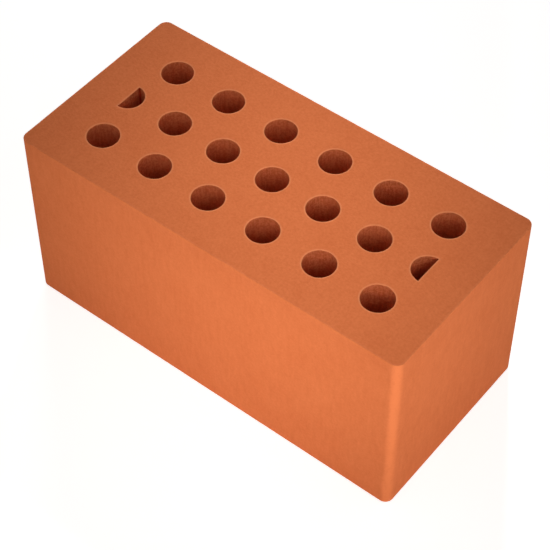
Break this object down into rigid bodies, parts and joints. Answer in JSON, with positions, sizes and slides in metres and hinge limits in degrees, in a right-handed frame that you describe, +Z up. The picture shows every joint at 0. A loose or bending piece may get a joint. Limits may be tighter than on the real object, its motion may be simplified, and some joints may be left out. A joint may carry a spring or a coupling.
{
  "type": "clay brick",
  "caption": "Perforated fired clay brick for laying walls: a block with flat beds, rounded upright corners and rows of round holes from bed to bed.",
  "frame": {"origin": "middle of the lower bed, on the level that the brick lies on", "axes": "+X along the length, +Y across the width, +Z up through the height, along the holes"},
  "size_m": [0.25, 0.12, 0.12],
  "materials": {
    "fired_clay": "matte"
  },
  "bodies": {
    "root": {"clay_brick": "fired_clay"}
  },
  "joints": []
}
